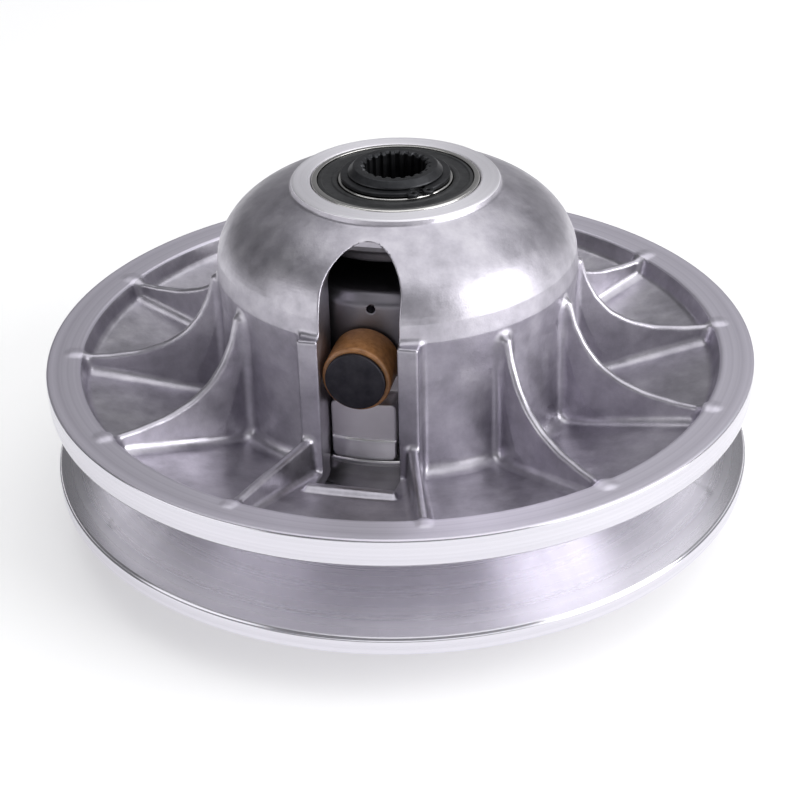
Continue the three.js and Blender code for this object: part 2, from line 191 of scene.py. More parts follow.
def gradient(distance, points, h=0.2):
    """Direction in which the distance grows, at x, y, z points."""
    out = np.empty_like(points)
    for axis in range(3):
        step = np.zeros(3)
        step[axis] = h
        ahead, behind = points + step, points - step
        out[:, axis] = (at_points(distance, ahead) - at_points(distance, behind)) / (2 * h)
    return out


def skin(distance, rs, phis, zs, copies):
    """Vertices, normals and quads of the surface where distance is zero, in millimetres.
    phis is one sector, centred on 0; the sector repeats round the axis."""
    sector = TURN / copies
    grid = np.meshgrid(rs, phis, zs, indexing="ij")
    field = distance(*grid).astype(np.float32)
    field = np.concatenate([field, field[:, :1]], axis=1)
    inside = field < 0
    nr, nphi, nz = len(rs), len(phis), len(zs)
    counted = sum(
        inside[a:nr - 1 + a, b:nphi + b, c:nz - 1 + c].astype(np.int8) for a, b, c in CORNERS
    )
    cells = np.argwhere((counted > 0) & (counted < 8))
    corner_values = [field[cells[:, 0] + a, cells[:, 1] + b, cells[:, 2] + c] for a, b, c in CORNERS]
    total = np.zeros((len(cells), 3))
    number = np.zeros(len(cells))
    for first, second in CELL_EDGES:
        f0, f1 = corner_values[first], corner_values[second]
        crossing = (f0 < 0) != (f1 < 0)
        t = np.where(crossing, f0 / np.where(crossing, f0 - f1, 1), 0)[:, None]
        c0, c1 = np.array(CORNERS[first]), np.array(CORNERS[second])
        total += np.where(crossing[:, None], c0 + (c1 - c0) * t, 0)
        number += crossing
    where = total / number[:, None] + cells
    phi_line = np.append(phis, phis[0] + sector)
    r = np.interp(where[:, 0], np.arange(nr), rs)
    phi = np.interp(where[:, 1], np.arange(nphi + 1), phi_line)
    z = np.interp(where[:, 2], np.arange(nz), zs)
    points = np.stack([r * np.cos(phi), r * np.sin(phi), z], axis=1)
    for _ in range(3):
        slope = gradient(distance, points)
        steep = np.maximum((slope ** 2).sum(axis=1), 0.2)
        move = slope * (at_points(distance, points) / steep)[:, None]
        length = np.maximum(np.linalg.norm(move, axis=1, keepdims=True), 1e-9)
        points = points - move * np.minimum(1, 0.35 / length)
    normals = gradient(distance, points, 0.25)
    normals /= np.maximum(np.linalg.norm(normals, axis=1, keepdims=True), 1e-9)

    made = len(cells)
    ids = np.full((nr - 1, nphi + 1, nz - 1), -1, np.int64)
    ids[cells[:, 0], cells[:, 1] + 1, cells[:, 2]] = np.arange(made)
    ids[:, 0] = np.where(ids[:, nphi] >= 0, ids[:, nphi] - made, 10 ** 9)
    quads = []

    def gather(changes, rising, offsets):
        """Quads round the grid edges that change sign; offsets lead to the four cells."""
        i, j, k = changes.T
        corners = [ids[i + a, j + 1 + b, k + c] for a, b, c in offsets]
        quad = np.stack(corners, axis=1)
        quads.append(np.where(rising[:, None], quad, quad[:, ::-1]))

    body = field[:, :nphi]
    low, high = body[:-1, :, 1:-1] < 0, body[1:, :, 1:-1] < 0
    found = np.argwhere(low != high) + [0, 0, 1]
    gather(found, body[found[:, 0], found[:, 1], found[:, 2]] < 0,
           [(0, -1, -1), (0, 0, -1), (0, 0, 0), (0, -1, 0)])
    low, high = field[1:-1, :-1, 1:-1] < 0, field[1:-1, 1:, 1:-1] < 0
    found = np.argwhere(low != high) + [1, 0, 1]
    gather(found, field[found[:, 0], found[:, 1], found[:, 2]] < 0,
           [(-1, 0, -1), (-1, 0, 0), (0, 0, 0), (0, 0, -1)])
    low, high = body[1:-1, :, :-1] < 0, body[1:-1, :, 1:] < 0
    found = np.argwhere(low != high) + [1, 0, 0]
    gather(found, body[found[:, 0], found[:, 1], found[:, 2]] < 0,
           [(-1, -1, 0), (0, -1, 0), (0, 0, 0), (-1, 0, 0)])
    quads = np.concatenate(quads)

    all_points, all_normals, all_quads = [], [], []
    for copy in range(copies):
        a = copy * sector
        spin = np.array([[math.cos(a), math.sin(a), 0], [-math.sin(a), math.cos(a), 0], [0, 0, 1]])
        all_points.append(points @ spin)
        all_normals.append(normals @ spin)
        all_quads.append((quads + copy * made) % (copies * made))
    return np.concatenate(all_points), np.concatenate(all_normals), np.concatenate(all_quads)


def spun(points, angle):
    """Points turned about the shaft's axis."""
    c, s = math.cos(angle), math.sin(angle)
    return points @ np.array([[c, s, 0], [-s, c, 0], [0, 0, 1]])


def make_object(name, points, quads, normals=None):
    """A smooth mesh object from points in millimetres."""
    mesh = bpy.data.meshes.new(name)
    mesh.vertices.add(len(points))
    mesh.vertices.foreach_set("co", (np.asarray(points) * MM).astype(np.float32).ravel())
    corners = quads.shape[1]
    mesh.loops.add(quads.size)
    mesh.loops.foreach_set("vertex_index", quads.astype(np.int32).ravel())
    mesh.polygons.add(len(quads))
    mesh.polygons.foreach_set("loop_start", np.arange(0, quads.size, corners, dtype=np.int32))
    mesh.update(calc_edges=True)
    mesh.validate()
    mesh.polygons.foreach_set("use_smooth", np.ones(len(mesh.polygons), bool))
    if normals is not None:
        mesh.normals_split_custom_set_from_vertices(normals)
    obj = bpy.data.objects.new(name, mesh)
    bpy.context.scene.collection.objects.link(obj)
    return obj


def field_object(name, distance, rs, phis, zs, copies, facing):
    """An object from a distance field whose first sector faces the given way."""
    points, normals, quads = skin(distance, rs, phis, zs, copies)
    points[:, 2] = np.clip(points[:, 2], 0.0, POST_TOP_Z)
    return make_object(name, spun(points, facing), quads, spun(normals, facing))


def lathe(name, corners, facets, axis=None, height=0.0, angle=0.0):
    """A ring turned from a rounded outline. With axis "radial" it lies along a radial line."""
    outline = rounded(corners)[::-1]
    area = sum(a[0] * b[1] - b[0] * a[1] for a, b in zip(outline, np.roll(outline, -1, axis=0)))
    if area < 0:
        outline = outline[::-1]
    count = len(outline)
    turn = np.arange(facets) * TURN / facets
    r, z = outline[:, 0], outline[:, 1]
    points = np.stack([np.outer(np.cos(turn), r), np.outer(np.sin(turn), r),
                       np.outer(np.ones(facets), z)], axis=-1).reshape(-1, 3)
    step, place = np.meshgrid(np.arange(facets), np.arange(count), indexing="ij")
    following, beside = (step + 1) % facets, (place + 1) % count
    quads = np.stack([step * count + place, following * count + place,
                      following * count + beside, step * count + beside], axis=-1).reshape(-1, 4)
    if axis == "radial":
        points = points[:, [2, 0, 1]]
        points[:, 2] += height
        points = spun(points, angle)
    obj = make_object(name, points, quads)
    obj.data.set_sharp_from_angle(angle=math.radians(32))
    return obj


# ---- stationary sheave --------------------------------------------------------------------------

BELT_BACKING = 2.0
CAP_HALF_WIDTH, CAP_HEIGHT, CAP_CENTRE_Z, CAP_POWER = 67.7, 35.4, 79.6, 2.4
FREE_RIB_MIDDLE, HALF_RIB_STEP = math.radians(60), math.radians(15)
FREE_RIB_HALF_WIDTH = 1.45
JAMB_RIB_ANGLE = math.radians(15.2)
JAMB_RIB_HALF_WIDTH = 1.7
JAMB_CENTRE = 66
SILL_CENTRE, SILL_HALF_DEPTH, SILL_HALF_WIDTH, SILL_TOP_Z = 86.4, 2.3, 16.5, 33.2


def cap_points():
    """The dome's cap, a squared-off ellipse from its lower edge to the bearing ring."""
    points = []
    for r in np.linspace(CAP_HALF_WIDTH - 0.002, 41.5, 40):
        rise = (1 - (r / CAP_HALF_WIDTH) ** CAP_POWER) ** (1 / CAP_POWER)
        points.append((r, CAP_CENTRE_Z + CAP_HEIGHT * rise, 0))
    return points


STATIONARY = Section([
    (FACE_INNER_RADIUS, GROOVE_MID_Z + face_rise(FACE_INNER_RADIUS), 0.4),
    (RIM_RADIUS, UPPER_RIM_Z - UPPER_BAND, 0.45),
    (RIM_RADIUS, UPPER_RIM_Z, 0.7),
    (122.4, 45.9, 1.6),
    (120.0, 38.8, 3.2),
    (67.3, 26.2, 5.0),
    (66.9, 68.0, 40.0),
    *cap_points(),
    (38.9, 110.8, 1.4),
    (38.3, 113.2, 0.5),
    (31.3, 113.2, 0.5),
    (31.3, 99.1, 0),
    (26.0, 99.1, 0),
    (26.0, 96.6, 0),
    (38.0, 96.6, 1.5),
    (39.5, 103.0, 3.0),
    (49.0, 100.0, 6.0),
    (57.0, 93.5, 6.0),
    (61.0, 84.0, 4.0),
    (61.0, GROOVE_MID_Z + face_rise(FACE_INNER_RADIUS), 0.4),
])
FREE_RIB = Section([
    (62.5, -20, 0), (126, -20, 0), (126, 45.2, 0), (112, 45.0, 20), (100, 46.0, 25), (90, 49.0, 25),
    (82, 53.9, 20), (76.5, 60.5, 20), (72.6, 68, 20), (70.2, 76.4, 1.2), (62.5, 76.4, 0),
])
JAMB_RIB = Section([
    (62.5, -20, 0), (126, -20, 0), (126, 45.2, 0), (100, 43.6, 30), (71, 40.8, 4), (62.5, 40.8, 0),
])
INNER_WALL = Section([(50, 29, 0.5), (63, 29, 0), (63, 86, 0), (57.5, 95, 3), (51, 98.8, 0), (50, 98.8, 0)])
SLOT_SIDE = Section([
    (42, 8, 0), (69.8, 8, 0), (70, 22.6, 0.5), (79.4, 27.8, 0.5), (79.4, 122, 0), (42, 122, 0),
])


def rib(section, r, offset, z, half_width, draft, edge):
    """An upright plate on a radial plane, thicker towards its foot and rounded along its ridge."""
    along, across = r * np.cos(offset), r * np.sin(offset)
    top = section(along, z)
    sides = np.abs(across) - half_width - draft * np.clip(-top, 0, 16)
    return common(top, sides, edge)


def stationary_distance(r, phi, z):
    """Half of the upper sheave, with a slot at angle 0: revolved body, ribs, jambs, sill and wall."""
    side = np.abs(phi)
    along, across = r * np.cos(phi), r * np.sin(phi)
    above_face = GROOVE_MID_Z + face_rise(r) + BELT_BACKING - z
    from_free_rib = np.abs(side - FREE_RIB_MIDDLE) - HALF_RIB_STEP
    free = rib(FREE_RIB, r, from_free_rib, z, FREE_RIB_HALF_WIDTH, 0.11, 1.3)
    flank = rib(JAMB_RIB, r, side - JAMB_RIB_ANGLE, z, JAMB_RIB_HALF_WIDTH, 0.07, 1.3)
    pad = box2(along - JAMB_CENTRE, across, JAMB_FACE - JAMB_CENTRE, JAMB_HALF_WIDTH, 1.0)
    pad = common(pad, z - JAMB_TOP_Z, 0.9)
    sill = common(np.abs(along - SILL_CENTRE) - SILL_HALF_DEPTH, z - SILL_TOP_Z, 1.7)
    sill = common(sill, np.abs(across) - SILL_HALF_WIDTH, 1.5)
    wall = common(INNER_WALL(along, z), np.abs(across) - JAMB_HALF_WIDTH + 0.6, 0.5)
    d = join(STATIONARY(r, z), wall, 1.5)
    d = join(d, common(pad, above_face, 0.2), 2.2)
    d = join(d, common(flank, above_face, 0.2), 2.6)
    d = join(d, common(free, above_face, 0.2), 3.6)
    d = join(d, common(sill, above_face, 0.2), 2.0)
    above = np.hypot(across, z - SLOT_TOP_CENTRE_Z) - SLOT_HALF_WIDTH
    slot = np.where(z > SLOT_TOP_CENTRE_Z, above, np.abs(across) - SLOT_HALF_WIDTH)
    return cut(d, common(slot, SLOT_SIDE(along, z), 0.3), 0.7)


def steps(*spans):
    """Grid lines from (start, stop, step) spans, each starting where the last one stopped."""
    lines = []
    for start, stop, step in spans:
        count = max(1, round((stop - start) / step))
        lines.extend(start + (stop - start) * np.arange(count) / count)
    return np.array(lines)


def degrees(*spans):
    """The same for angles, given in degrees."""
    return np.radians(steps(*spans))


# Grid steps in millimetres are multiplied by this.
FINE = 0.8
stationary = field_object(
    "stationary_sheave_casting", stationary_distance,
    steps((24.6, 62, FINE * 1.25), (62, 74, FINE * 0.8), (74, 137, FINE * 1.15)),
    degrees((-90, -22, 0.55), (-22, 22, 0.32), (22, 90, 0.55)),
    steps((19.4, 52, FINE * 0.85), (52, 74, FINE * 1.3), (74, 115, FINE * 0.85)),
    SLOT_COUNT, SLOT_FACING,
)

# ---- movable sheave -----------------------------------------------------------------------------

LIP = 0.7
LOWER_RIB_COUNT = 6
WEB_INNER_RADIUS, HUB_WEB_Z = 74, 12.0
MOVABLE = Section([
    (RIM_RADIUS, 0, 0.5), (RIM_RADIUS, LOWER_BAND - 0.9, 0.15), (RIM_RADIUS - LIP, LOWER_BAND - 0.6, 0),
    (RIM_RADIUS - LIP, GROOVE_MID_Z - face_rise(RIM_RADIUS - LIP), 0.2),
    (FACE_INNER_RADIUS, GROOVE_MID_Z - face_rise(FACE_INNER_RADIUS), 0.4),
    (71, 20.4, 0.5), (70.4, 14.6, 1.5), (60, 14.6, 1.0), (60, 27.7, 0.4), (44, 27.7, 0.5),
    (44, 4, 0.8), (60, 4, 1.5), (60, 8.8, 2.5), (70, 8.8, 5), (77, 14.2, 8),
    (123.3, 2.9, 2.6), (124.8, 0, 0.7),
])
LOWER_RIB = Section([(57, 40, 0), (57, 5, 2), (126, 1.2, 0), (126, 40, 0)])


def movable_distance(r, phi, z):
    """A sixth of the lower sheave: revolved body and one rib beneath, kept out of the groove."""
    below_face = z - (GROOVE_MID_Z - face_rise(r) - BELT_BACKING)
    below_groove = np.where(r < WEB_INNER_RADIUS, z - HUB_WEB_Z, below_face)
    plate = rib(LOWER_RIB, r, phi, z, 1.6, 0.12, 1.2)
    return join(MOVABLE(r, z), common(plate, below_groove, 0.2), 3.0)


movable = field_object(
    "movable_sheave_casting", movable_distance,
    steps((42.6, 137, FINE)), degrees((-180 / LOWER_RIB_COUNT, 180 / LOWER_RIB_COUNT, 0.6)),
    steps((-1, 29.5, FINE * 0.75)), LOWER_RIB_COUNT, SLOT_FACING + HALF_RIB_STEP,
)

# ---- roller carrier -----------------------------------------------------------------------------

LEG_OUTER_RADIUS, LEG_INNER, LEG_HALF_WIDTH = 60, 45, 12.0
LEG_CENTRE_Z, LEG_HALF_HEIGHT = 39.6, 11.6
LEG_STEP_Z, LEG_STEP = 36.0, 0.5
PIN_BORE_RADIUS, PIN_BORE_START = 7.3, 36
HOLE_ACROSS, HOLE_Z, HOLE_RADIUS = 1.75, 84.2, 1.5
CARRIER = Section([
    (41.3, 28, 0.5), (50, 28, 0.8), (50, 86, 3), (46.5, 89.5, 3), (20.6, 89.5, 0.4), (20.6, 84, 0.4),
    (41.3, 84, 2.0),
])


def carrier_distance(r, phi, z):
    """Half of the carrier: a cup with a leg, the pin's bore and a small hole above it."""
    along, across = r * np.cos(phi), r * np.sin(phi)
    step_up = LEG_STEP * np.clip((z - LEG_STEP_Z) / LEG_STEP, 0, 1)
    leg = box2(across, z - LEG_CENTRE_Z, LEG_HALF_WIDTH, LEG_HALF_HEIGHT, 2.4)
    leg = common(leg, r - LEG_OUTER_RADIUS + step_up, 0.5)
    leg = np.maximum(leg, LEG_INNER - along)
    d = join(CARRIER(r, z), leg, 0.8)
    bore = np.maximum(np.hypot(across, z - PIN_Z) - PIN_BORE_RADIUS, PIN_BORE_START - along)
    hole = np.hypot(across - HOLE_ACROSS, z - HOLE_Z) - HOLE_RADIUS
    hole = np.maximum(hole, LEG_INNER - along)
    return cut(cut(d, bore, 0.4), hole, 0.3)


carrier = field_object(
    "roller_carrier_cup", carrier_distance,
    steps((19.8, 62, FINE * 0.9)), degrees((-90, -20, 1.4), (-20, 20, 0.6), (20, 90, 1.4)),
    steps((27.2, 91, FINE * 0.9)), SLOT_COUNT, SLOT_FACING + PIN_LEAN,
)

# ---- splined post -------------------------------------------------------------------------------

SPLINE_TEETH = 22
SPLINE_INNER_RADIUS, SPLINE_DEPTH = 11.2, 1.1
SPLINE_GAP_SHARE, SPLINE_FLANK_SHARE = 0.56, 0.14
SPLINE_CHAMFER = 0.8
POST = Section([
    (-6, 0, 0), (16.6, 0, 0.3), (POST_RADIUS, 1, 0.3),
    (POST_RADIUS, 18, 0.8), (30, 18, 0.6), (30, 24, 0.5), (POST_RADIUS, 24, 0.8),
    (POST_RADIUS, 93, 0.3), (19.3, 93, 0.4), (19.3, 99.1, 0.2), (POST_RADIUS, 99.1, 0),
    (POST_RADIUS, 113.6, 0), (16.4, 113.6, 0), (16.4, 115.4, 0), (POST_RADIUS, 115.4, 0.15),
    (17.4, 116.0, 0.4), (15.4, POST_TOP_Z, 0.6), (-6, POST_TOP_Z, 0),
], step=0.125)


def post_distance(r, phi, z):
    """One tooth's share of the post, with the spline cut into its bore."""
    tooth = np.abs(phi) * SPLINE_TEETH / math.pi
    wall = SPLINE_INNER_RADIUS + SPLINE_DEPTH * np.clip((SPLINE_GAP_SHARE - tooth) / SPLINE_FLANK_SHARE, 0, 1)
    wall = wall + np.clip(z - POST_TOP_Z + SPLINE_CHAMFER, 0, 1) + np.clip(SPLINE_CHAMFER - z, 0, 1)
    return cut(POST(r, z), r - wall, 0.2)


post = field_object(
    "splined_post", post_distance,
    steps((10.3, 18.4, 0.32), (18.4, 31.2, 0.9)),
    degrees((-180 / SPLINE_TEETH, 180 / SPLINE_TEETH, 0.68)),
    steps((-0.7, 1.8, 0.32), (1.8, 17, 3), (17, 25, 0.6), (25, 92, 6), (92, 100.4, 0.6), (100.4, 112.6, 3),
          (112.6, 118.9, 0.28)),
    SPLINE_TEETH, 0.0,
)

# ---- helical cam --------------------------------------------------------------------------------

TRAVEL, TWIST = 20.0, math.radians(-25)
CAM_SLOT_RADIUS = 8.4
CAM_SLOT_START = 28
CAM = Section([
    (BORE_RADIUS, 24.3, 0.4), (40.8, 24.3, 1.0), (40.8, 63.4, 0.6),
    (31, 63.4, 0.6), (31, 30.3, 1.5), (BORE_RADIUS, 30.3, 0.4),
])


def cam_distance(r, phi, z):
    """Half of the cam. Its slot follows the roller, which sinks by TRAVEL while it turns by TWIST."""
    arc, drop = phi * r, PIN_Z - z
    turned_arc = TWIST * r
    share = np.clip((arc * turned_arc + drop * TRAVEL) / (turned_arc ** 2 + TRAVEL ** 2), -0.4, 1)
    slot = np.hypot(arc - share * turned_arc, drop - share * TRAVEL) - CAM_SLOT_RADIUS
    return cut(CAM(r, z), np.maximum(slot, CAM_SLOT_START - r), 0.5)


cam = field_object(
    "helical_cam", cam_distance, steps((17, 42.2, 1.0)), degrees((-90, 90, 1.3)), steps((23.6, 64.4, 1.0)),
    SLOT_COUNT, SLOT_FACING + PIN_LEAN,
)

# ---- turned pieces ------------------------------------------------------------------------------

BEARING_BOTTOM_Z, BEARING_TOP_Z = 99.4, 113.4
bushing = lathe("carrier_bushing_ring", [
    (BORE_RADIUS, 84, 0.4), (20.3, 84, 0.2), (20.3, 89.5, 0.2), (BORE_RADIUS, 89.5, 0.5)], 96)
inner_race = lathe("bearing_inner_ring", [
    (BORE_RADIUS, BEARING_BOTTOM_Z, 0.5), (21, BEARING_BOTTOM_Z, 0.4),
    (21, BEARING_TOP_Z, 0.4), (BORE_RADIUS, BEARING_TOP_Z, 0.5)], 128)
outer_race = lathe("bearing_outer_ring", [
    (28.9, BEARING_BOTTOM_Z, 0.3), (31, BEARING_BOTTOM_Z, 0.8),
    (31, BEARING_TOP_Z, 0.7), (28.9, BEARING_TOP_Z, 0.25)], 144)


def seal(name, z, side):
    """A rubber lip seal; side is +1 with its face up and -1 with its face down."""
    face = [(21.35, -0.5, 0), (28.6, -0.5, 0), (28.6, 0.25, 0.2), (27.4, 0.5, 0.3), (26.9, 0.1, 0.3),
            (23.6, 0.0, 0.3), (23.1, 0.45, 0.3), (22.0, 0.45, 0.3), (21.35, 0.0, 0.2)]
    return lathe(name, [(r, z + side * rise, fillet) for r, rise, fillet in face], 128)


seal_top = seal("bearing_seal_top_lip", 112.65, 1)
seal_bottom = seal("bearing_seal_bottom_lip", 100.2, -1)
washer = lathe("spring_thrust_ring", [
    (20.9, 82.2, 0.3), (30.5, 82.2, 0.3), (30.5, 83.7, 0.3), (20.9, 83.7, 0.3)], 96)
seat = lathe("spring_lower_ring", [
    (18.2, 30.6, 0.2), (30, 30.6, 0.2), (30, 31.8, 0.3), (18.2, 31.8, 0.3)], 96)

pins, slot_rollers, cam_rollers = [], [], []
for number in range(1, SLOT_COUNT + 1):
    facing = SLOT_FACING + PIN_LEAN + (number - 1) * TURN / SLOT_COUNT
    pins.append(lathe(f"roller_pin_{number}_turned", [
        (0.03, 31.2, 0), (4.5, 31.2, 0.5), (4.5, 41, 0), (7, 41, 0.3), (7, 50.7, 0), (10, 50.7, 0.3),
        (10, 66.9, 0), (10.8, 66.9, 0.2), (10.8, 68.6, 0.6), (0.03, 68.6, 0)], 96, "radial", PIN_Z, facing))
    slot_rollers.append(lathe(f"slot_roller_{number}_sleeve", [
        (10.25, 51, 0.3), (12.3, 51, 0.9), (12.3, 66.8, 1.3), (10.25, 66.8, 0.35)],
        112, "radial", PIN_Z, facing))
    cam_rollers.append(lathe(f"cam_roller_{number}_sleeve", [
        (4.8, 31.8, 0.3), (8, 31.8, 0.7), (8, 39.6, 0.7), (4.8, 39.6, 0.3)], 72, "radial", PIN_Z, facing))

# ---- screws -------------------------------------------------------------------------------------

SHANK_RADIUS, HEAD_HEIGHT = 2.5, 3.2
SOCKET_SIDES, SOCKET_HALF_WIDTH, SOCKET_DEPTH = 6, 2.1, 1.9


def screw(name, distance, angle, head, tip):
    """A button-head screw with a hexagon socket, its head down."""
    shoulder = head + HEAD_HEIGHT
    section = Section([
        (-3, head, 0), (4.1, head, 1.2), (4.4, shoulder, 0.2),
        (SHANK_RADIUS, shoulder, 0.3), (SHANK_RADIUS, tip, 0.5), (-3, tip, 0),
    ], margin=2, step=0.125)

    def screw_distance(r, phi, z):
        socket = np.maximum(r * np.cos(phi) - SOCKET_HALF_WIDTH, z - head - SOCKET_DEPTH)
        return cut(section(r, z), socket, 0.15)

    heights = steps((head - 0.5, head + 4.1, 0.28), (head + 4.1, tip - 0.8, 4), (tip - 0.8, tip + 0.6, 0.4))
    angles = degrees((-180 / SOCKET_SIDES, 180 / SOCKET_SIDES, 7.5))
    points, normals, quads = skin(screw_distance, steps((0.06, 5.0, 0.3)), angles, heights, SOCKET_SIDES)
    points[:, 0] += distance
    return make_object(name, spun(points, angle), quads, spun(normals, angle))


# Two screws hold each leg of the carrier, and two stand on each side of the cam, between its slots.
LEG_SCREW_ALONG, LEG_SCREW_ACROSS = 54, 6.5
CAM_SCREW_RADIUS = 24.5
leg_screw_radius = math.hypot(LEG_SCREW_ALONG, LEG_SCREW_ACROSS)
leg_screw_angle = math.atan2(LEG_SCREW_ACROSS, LEG_SCREW_ALONG)
carrier_screws, cam_screws = [], []
for number in range(2 * SLOT_COUNT):
    half = SLOT_FACING + (number // 2) * TURN / SLOT_COUNT
    facing = half + PIN_LEAN + (leg_screw_angle if number % 2 else -leg_screw_angle)
    carrier_screws.append(screw(f"carrier_screw_{number + 1}_socket", leg_screw_radius, facing, 0.5, 43))
for number in range(2 * SLOT_COUNT):
    half = SLOT_FACING + (number // 2) * TURN / SLOT_COUNT
    facing = half + math.radians(120 if number % 2 else 60)
    cam_screws.append(screw(f"cam_screw_{number + 1}_socket", CAM_SCREW_RADIUS, facing, 14.5, 28.6))

# ---- spring -------------------------------------------------------------------------------------

SPRING_BOTTOM, SPRING_TOP, SPRING_TURNS = 32.1, 81.9, 4.5
WIRE_RADIUS, COIL_RADIUS = 2.9, 24.8
COIL_STEPS, WIRE_SIDES = 240, 14


def coil(name):
    """The spring's wire, wound up the post with open ends."""
    share = np.linspace(0, 1, COIL_STEPS)[:, None]
    turn = share * SPRING_TURNS * TURN
    middle_z = SPRING_BOTTOM + WIRE_RADIUS + (SPRING_TOP - SPRING_BOTTOM - 2 * WIRE_RADIUS) * share
    around = (np.arange(WIRE_SIDES) * TURN / WIRE_SIDES)[None, :]
    r = COIL_RADIUS + WIRE_RADIUS * np.cos(around)
    z = middle_z + WIRE_RADIUS * np.sin(around)
    points = np.stack([r * np.cos(turn), r * np.sin(turn), z], axis=-1).reshape(-1, 3)
    step, place = np.meshgrid(np.arange(COIL_STEPS - 1), np.arange(WIRE_SIDES), indexing="ij")
    start, following = step * WIRE_SIDES, (step + 1) * WIRE_SIDES
    beside = (place + 1) % WIRE_SIDES
    quads = np.stack([start + place, following + place, following + beside, start + beside], axis=-1)
    return make_object(name, points, quads.reshape(-1, 4)[:, ::-1])


spring = coil("compression_spring_coil")

# ---- circlip ------------------------------------------------------------------------------------

CIRCLIP_RADIUS, CIRCLIP_HALF_WIDTH = 18.5, 1.7
CIRCLIP_Z, CIRCLIP_HALF_HEIGHT = 114.5, 0.7
LUG_ALONG, LUG_ACROSS, LUG_RADIUS, LUG_HOLE_RADIUS = 20.2, 3.1, 2.1, 0.85


def circlip_distance(r, phi, z):
    """An open ring with a holed lug on either side of its gap."""
    x, y = r * np.cos(phi), np.abs(r * np.sin(phi))
    height = np.abs(z - CIRCLIP_Z) - CIRCLIP_HALF_HEIGHT
    from_lug = np.hypot(x - LUG_ALONG, y - LUG_ACROSS)
    ring = common(np.abs(r - CIRCLIP_RADIUS) - CIRCLIP_HALF_WIDTH, height, 0.3)
    ring = np.maximum(ring, LUG_ACROSS - np.where(x > 0, y, 99))
    d = np.minimum(ring, common(from_lug - LUG_RADIUS, height, 0.2))
    return np.maximum(d, LUG_HOLE_RADIUS - from_lug)


circlip = field_object(
    "post_circlip_ring", circlip_distance, steps((16.2, 23, 0.3)), degrees((-180, 180, 1.0)),
    steps((113.3, 115.9, 0.24)), 1, math.radians(-52),
)

# ---- finishes -----------------------------------------------------------------------------------

class Finish:
    """A procedural material built round one principled shader. noise, rings and ramp return a node's
    output; colour, rough, bump and turned set the shader's sockets."""

    def __init__(self, name, metallic, roughness, **constants):
        self.material = bpy.data.materials.new(name)
        self.material.use_nodes = True
        self.tree = self.material.node_tree
        self.surface = self.tree.nodes["Principled BSDF"]
        self.surface.inputs["Metallic"].default_value = metallic
        self.surface.inputs["Roughness"].default_value = roughness
        for socket, value in constants.items():
            self.surface.inputs[socket.replace("_", " ")].default_value = value
        self.place = self.node("ShaderNodeTexCoord").outputs["Object"]

    def node(self, kind, **settings):
        made = self.tree.nodes.new(kind)
        for setting, value in settings.items():
            setattr(made, setting, value)
        return made

    def link(self, source, target):
        self.tree.links.new(source, target)

    def noise(self, scale, detail=4.0, roughness=0.55, place=None):
        made = self.node("ShaderNodeTexNoise")
        made.inputs["Scale"].default_value = scale
        made.inputs["Detail"].default_value = detail
        made.inputs["Roughness"].default_value = roughness
        self.link(place or self.place, made.inputs["Vector"])
        return made.outputs["Fac"]

    def rings(self, scale, detail=3.0, height_scale=1.0):
        """Noise that changes only with the distance from the shaft and the height: a turned surface."""
        flat = self.node("ShaderNodeVectorMath", operation="MULTIPLY")
        flat.inputs[1].default_value = (1, 1, 0)
        self.link(self.place, flat.inputs[0])
        radius = self.node("ShaderNodeVectorMath", operation="LENGTH")
        self.link(flat.outputs["Vector"], radius.inputs[0])
        parts = self.node("ShaderNodeSeparateXYZ")
        self.link(self.place, parts.inputs[0])
        height = self.node("ShaderNodeMath", operation="MULTIPLY")
        height.inputs[1].default_value = height_scale
        self.link(parts.outputs["Z"], height.inputs[0])
        line = self.node("ShaderNodeCombineXYZ")
        self.link(radius.outputs["Value"], line.inputs["X"])
        self.link(height.outputs["Value"], line.inputs["Z"])
        return self.noise(scale, detail, 0.6, line.outputs["Vector"])

    def ramp(self, value, *stops):
        made = self.node("ShaderNodeValToRGB")
        elements = made.color_ramp.elements
        while len(elements) < len(stops):
            elements.new(0.5)
        for element, (position, colour) in zip(elements, stops):
            element.position = position
            element.color = (*colour, 1) if isinstance(colour, tuple) else (colour, colour, colour, 1)
        self.link(value, made.inputs["Fac"])
        return made.outputs["Color"]

    def colour(self, value, *stops):
        """Base colour through (value, colour) stops."""
        self.link(self.ramp(value, *stops), self.surface.inputs["Base Color"])

    def rough(self, value, low, high):
        """Roughness between low and high as the value goes from 0.3 to 0.7."""
        spread = self.node("ShaderNodeMapRange")
        spread.inputs["From Min"].default_value = 0.3
        spread.inputs["From Max"].default_value = 0.7
        spread.inputs["To Min"].default_value = low
        spread.inputs["To Max"].default_value = high
        self.link(value, spread.inputs["Value"])
        self.link(spread.outputs["Result"], self.surface.inputs["Roughness"])

    def bump(self, *layers):
        """Relief from (value, depth in millimetres) layers."""
        normal = None
        for value, depth in layers:
            made = self.node("ShaderNodeBump")
            made.inputs["Strength"].default_value = 1.0
            made.inputs["Distance"].default_value = depth * MM
            self.link(value, made.inputs["Height"])
            if normal:
                self.link(normal, made.inputs["Normal"])
            normal = made.outputs["Normal"]
        self.link(normal, self.surface.inputs["Normal"])

    def turned(self, anisotropy):
        """Highlights drawn out across grooves that run round the shaft."""
        tangent = self.node("ShaderNodeTangent", direction_type="RADIAL", axis="Z")
        self.link(tangent.outputs["Tangent"], self.surface.inputs["Tangent"])
        self.surface.inputs["Anisotropic"].default_value = anisotropy
        self.surface.inputs["Anisotropic Rotation"].default_value = 0.25


